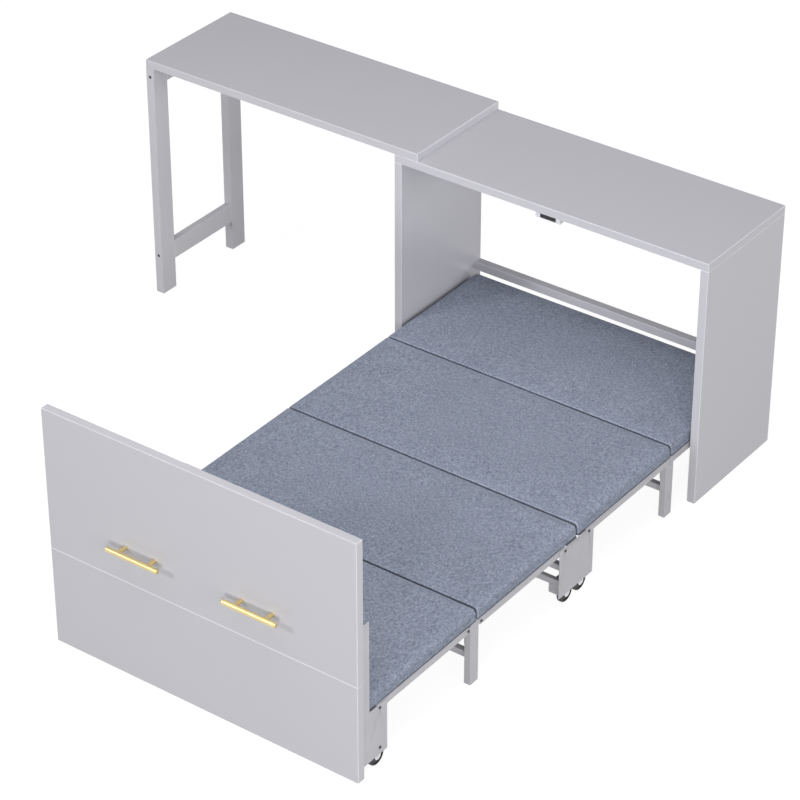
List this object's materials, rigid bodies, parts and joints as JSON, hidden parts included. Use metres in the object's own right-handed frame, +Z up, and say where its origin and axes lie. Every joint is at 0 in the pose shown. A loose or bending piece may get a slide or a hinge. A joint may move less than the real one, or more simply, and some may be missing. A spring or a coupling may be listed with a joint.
{
  "type": "desk bed",
  "caption": "Grey cabinet with a sliding desk leaf and a padded bed that folds up into it on leg frames and casters.",
  "frame": {"origin": "on the floor, under the middle of the whole object with the bed and the leaf drawn out", "axes": "+Z up, +Y from the bed's foot to the cabinet's back, +X from the leaf to the cabinet"},
  "size_m": [1.958, 1.963, 0.8],
  "materials": {
    "painted_board": "light warm grey satin paint",
    "painted_steel": "light grey satin powder coat",
    "mattress_fabric": "heathered blue-grey woven cloth",
    "slat_wood": "clear lacquered beech",
    "zinc_steel": "bright zinc plate",
    "dark_steel": "black oxide",
    "white_nylon": "moulded white plastic",
    "brushed_brass": "satin light gold",
    "caster_tyre": "black moulded tyre"
  },
  "bodies": {
    "cabinet": {"cabinet_top": "painted_board", "cabinet_side_left": "painted_board", "cabinet_side_right": "painted_board", "rear_crossbar": "painted_board", "back_top_rail": "painted_board", "rear_pivot_brackets": "zinc_steel", "catch_body": "white_nylon", "catch_magnet": "dark_steel", "guide_keys": "white_nylon"},
    "desk_leaf": {"leaf_top": "painted_board", "leaf_posts": "painted_board", "leaf_crosspieces": "painted_board", "leaf_bolts": "dark_steel"},
    "section_1": {"section_1_side_rails": "painted_steel", "section_1_cross_tubes": "painted_steel", "section_1_slats": "slat_wood", "section_1_pad": "mattress_fabric"},
    "rear_leg_frame": {"rear_legs": "painted_steel", "rear_leg_crossbar": "painted_steel", "rear_leg_pivot_bolts": "dark_steel"},
    "section_2": {"section_2_side_rails": "painted_steel", "section_2_cross_tubes": "painted_steel", "section_2_slats": "slat_wood", "section_2_pad": "mattress_fabric"},
    "carriage": {"carriage_side_plates": "painted_steel", "carriage_bars": "painted_steel", "carriage_blocks": "painted_steel", "carriage_pivot_bolts": "dark_steel", "caster_fork_1": "zinc_steel", "caster_fork_2": "zinc_steel", "caster_fork_3": "zinc_steel", "caster_fork_4": "zinc_steel"},
    "section_3": {"section_3_side_rails": "painted_steel", "section_3_cross_tubes": "painted_steel", "section_3_slats": "slat_wood", "section_3_pad": "mattress_fabric"},
    "front_leg_frame": {"front_legs": "painted_steel", "front_leg_crossbar": "painted_steel", "front_leg_pivot_bolts": "dark_steel"},
    "section_4": {"section_4_side_rails": "painted_steel", "section_4_cross_tubes": "painted_steel", "section_4_slats": "slat_wood", "section_4_pad": "mattress_fabric"},
    "foot_box": {"foot_side_plates": "painted_steel", "foot_bars": "painted_steel", "foot_blocks": "painted_steel", "foot_pivot_bolts": "dark_steel", "front_board_lower": "painted_board", "front_board_upper": "painted_board", "front_joining_plate": "painted_steel", "strike_plate": "zinc_steel", "handles": "brushed_brass", "caster_fork_5": "zinc_steel", "caster_fork_6": "zinc_steel"},
    "wheel_1": {"caster_wheel_1": "caster_tyre"},
    "wheel_2": {"caster_wheel_2": "caster_tyre"},
    "wheel_3": {"caster_wheel_3": "caster_tyre"},
    "wheel_4": {"caster_wheel_4": "caster_tyre"},
    "wheel_5": {"caster_wheel_5": "caster_tyre"},
    "wheel_6": {"caster_wheel_6": "caster_tyre"}
  },
  "joints": [
    {"name": "leaf_slide", "type": "slide", "parent": "cabinet", "child": "desk_leaf", "axis": [1, 0, 0], "range_m": [0, 0.886]},
    {"name": "bed_fold", "type": "hinge", "parent": "cabinet", "child": "section_1", "pos_m": [0.459, 0.9002, 0.182], "axis": [-1, 0, 0], "range_deg": [0, 90]},
    {"name": "rear_leg_pivot", "type": "hinge", "parent": "section_1", "child": "rear_leg_frame", "pos_m": [0.459, 0.5192, 0.182], "axis": [-1, 0, 0], "range_deg": [-90, 0]},
    {"name": "section_2_pivot", "type": "hinge", "parent": "rear_leg_frame", "child": "section_2", "pos_m": [0.459, 0.4627, 0.182], "axis": [-1, 0, 0], "range_deg": [-90, 0]},
    {"name": "carriage_rear_pivot", "type": "hinge", "parent": "section_2", "child": "carriage", "pos_m": [0.459, 0.0817, 0.182], "axis": [-1, 0, 0], "range_deg": [0, 90]},
    {"name": "section_3_pivot", "type": "hinge", "parent": "carriage", "child": "section_3", "pos_m": [0.459, -0.032, 0.182], "axis": [-1, 0, 0], "range_deg": [0, 90]},
    {"name": "front_leg_pivot", "type": "hinge", "parent": "section_3", "child": "front_leg_frame", "pos_m": [0.459, -0.413, 0.182], "axis": [-1, 0, 0], "range_deg": [-90, 0]},
    {"name": "section_4_pivot", "type": "hinge", "parent": "front_leg_frame", "child": "section_4", "pos_m": [0.459, -0.4695, 0.182], "axis": [-1, 0, 0], "range_deg": [-90, 0]},
    {"name": "foot_pivot", "type": "hinge", "parent": "section_4", "child": "foot_box", "pos_m": [0.459, -0.8505, 0.182], "axis": [-1, 0, 0], "range_deg": [0, 90]},
    {"name": "wheel_1_spin", "type": "hinge", "parent": "carriage", "child": "wheel_1", "pos_m": [0.9365, -0.00815, 0.029], "axis": [1, 0, 0], "continuous": true},
    {"name": "wheel_2_spin", "type": "hinge", "parent": "carriage", "child": "wheel_2", "pos_m": [-0.0185, -0.00815, 0.029], "axis": [1, 0, 0], "continuous": true},
    {"name": "wheel_3_spin", "type": "hinge", "parent": "carriage", "child": "wheel_3", "pos_m": [0.9365, 0.05785, 0.029], "axis": [1, 0, 0], "continuous": true},
    {"name": "wheel_4_spin", "type": "hinge", "parent": "carriage", "child": "wheel_4", "pos_m": [-0.0185, 0.05785, 0.029], "axis": [1, 0, 0], "continuous": true},
    {"name": "wheel_5_spin", "type": "hinge", "parent": "foot_box", "child": "wheel_5", "pos_m": [0.9365, -0.8525, 0.029], "axis": [1, 0, 0], "continuous": true},
    {"name": "wheel_6_spin", "type": "hinge", "parent": "foot_box", "child": "wheel_6", "pos_m": [-0.0185, -0.8525, 0.029], "axis": [1, 0, 0], "continuous": true}
  ],
  "couplings": [
    {"joint": "rear_leg_pivot", "follows": "bed_fold", "ratio": -1},
    {"joint": "section_2_pivot", "follows": "bed_fold", "ratio": -1},
    {"joint": "carriage_rear_pivot", "follows": "bed_fold", "ratio": 1},
    {"joint": "section_3_pivot", "follows": "bed_fold", "ratio": 1},
    {"joint": "front_leg_pivot", "follows": "bed_fold", "ratio": -1},
    {"joint": "section_4_pivot", "follows": "bed_fold", "ratio": -1},
    {"joint": "foot_pivot", "follows": "bed_fold", "ratio": 1}
  ]
}
